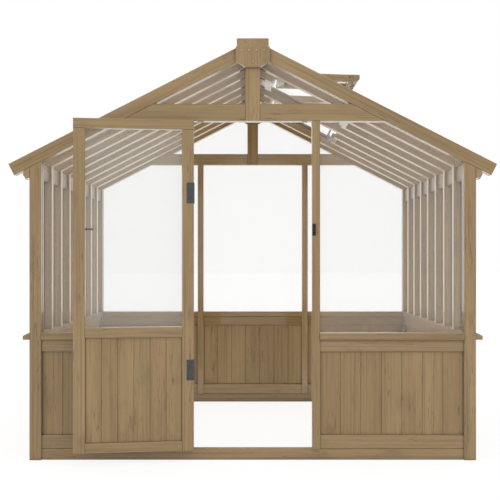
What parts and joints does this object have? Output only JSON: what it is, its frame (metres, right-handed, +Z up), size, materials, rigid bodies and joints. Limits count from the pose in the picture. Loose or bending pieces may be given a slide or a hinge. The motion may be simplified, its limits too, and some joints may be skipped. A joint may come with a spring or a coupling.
{
  "type": "wooden greenhouse",
  "caption": "Gabled timber greenhouse with boarded knee walls, clear glazing above, a half-glazed hinged door with a barrel bolt and tilting roof vents on stays.",
  "frame": {"origin": "middle of the front sill's underside, on the centre plane of the front frame and on the ground", "axes": "+X to the right as seen facing the door, +Y to the rear along the ridge, +Z up"},
  "size_m": [2.468, 2.1299, 2.1252],
  "materials": {
    "frame_timber": "oiled softwood, satin",
    "board_timber": "oiled softwood, satin",
    "joinery_timber": "oiled softwood, satin",
    "glazing": "clear, smooth",
    "dark_metal": "dark grey, semi-matt",
    "bright_metal": "zinc plated"
  },
  "bodies": {
    "frame": {"bolt_keeper": "dark_metal", "door_jamb_hinges": "dark_metal", "door_jambs": "frame_timber", "eave_strips": "frame_timber", "front_panes": "glazing", "front_posts": "frame_timber", "front_sill": "frame_timber", "front_tie": "frame_timber", "front_wall_boards": "board_timber", "front_wall_caps": "frame_timber", "front_wall_rails": "frame_timber", "gable_panes": "glazing", "gable_rafters": "frame_timber", "gusset_plates": "frame_timber", "gusset_screws": "bright_metal", "jack_rafters": "frame_timber", "king_posts": "frame_timber", "left_rafters": "frame_timber", "left_roof_panes": "glazing", "left_studs": "frame_timber", "left_wall_panes": "glazing", "rear_mullions": "frame_timber", "rear_panes": "glazing", "rear_posts": "frame_timber", "rear_sill": "frame_timber", "rear_tie": "frame_timber", "rear_wall_boards": "board_timber", "rear_wall_caps": "frame_timber", "rear_wall_rails": "frame_timber", "ridge_beam": "frame_timber", "ridge_brackets": "dark_metal", "ridge_cap": "frame_timber", "right_rafters": "frame_timber", "right_roof_panes": "glazing", "right_studs": "frame_timber", "right_wall_panes": "glazing", "side_sills": "frame_timber", "side_wall_boards": "board_timber", "side_wall_caps": "frame_timber", "side_wall_rails": "frame_timber", "stay_pegs": "bright_metal", "vent_header_hinges": "bright_metal", "vent_headers": "frame_timber", "wall_plates": "frame_timber"},
    "door": {"door_stiles": "joinery_timber", "door_rails": "joinery_timber", "door_boards": "board_timber", "door_pane": "glazing", "door_leaf_hinges": "dark_metal", "bolt_plate": "dark_metal"},
    "bolt": {"bolt_rod": "dark_metal"},
    "front_vent": {"front_vent_sash": "joinery_timber", "front_vent_pane": "glazing", "front_vent_fittings": "bright_metal"},
    "front_stay": {"front_vent_stay": "bright_metal"},
    "rear_vent": {"rear_vent_sash": "joinery_timber", "rear_vent_pane": "glazing", "rear_vent_fittings": "bright_metal"},
    "rear_stay": {"rear_vent_stay": "bright_metal"}
  },
  "joints": [
    {"name": "door_swing", "type": "hinge", "parent": "frame", "child": "door", "pos_m": [-0.2985, -0.036, 0.904], "axis": [0, 0, -1], "range_deg": [-172, 3]},
    {"name": "bolt_slide", "type": "slide", "parent": "door", "child": "bolt", "axis": [-0.9903, -0.1392, 0], "range_m": [0, 0.024]},
    {"name": "front_vent_tilt", "type": "hinge", "parent": "frame", "child": "front_vent", "pos_m": [0.13681, 0.5984, 2.0609], "axis": [0, -1, 0], "range_deg": [-25, 0]},
    {"name": "front_stay_fold", "type": "hinge", "parent": "front_vent", "child": "front_stay", "pos_m": [0.56779, 0.5984, 1.99532], "axis": [0, -1, 0], "range_deg": [-65, 0]},
    {"name": "rear_vent_tilt", "type": "hinge", "parent": "frame", "child": "rear_vent", "pos_m": [0.13681, 1.3166, 2.0609], "axis": [0, -1, 0], "range_deg": [-25, 0]},
    {"name": "rear_stay_fold", "type": "hinge", "parent": "rear_vent", "child": "rear_stay", "pos_m": [0.56779, 1.3166, 1.99532], "axis": [0, -1, 0], "range_deg": [-65, 0]}
  ],
  "couplings": [
    {"joint": "front_stay_fold", "follows": "front_vent_tilt", "ratio": 2.5854},
    {"joint": "rear_stay_fold", "follows": "rear_vent_tilt", "ratio": 2.5854}
  ]
}
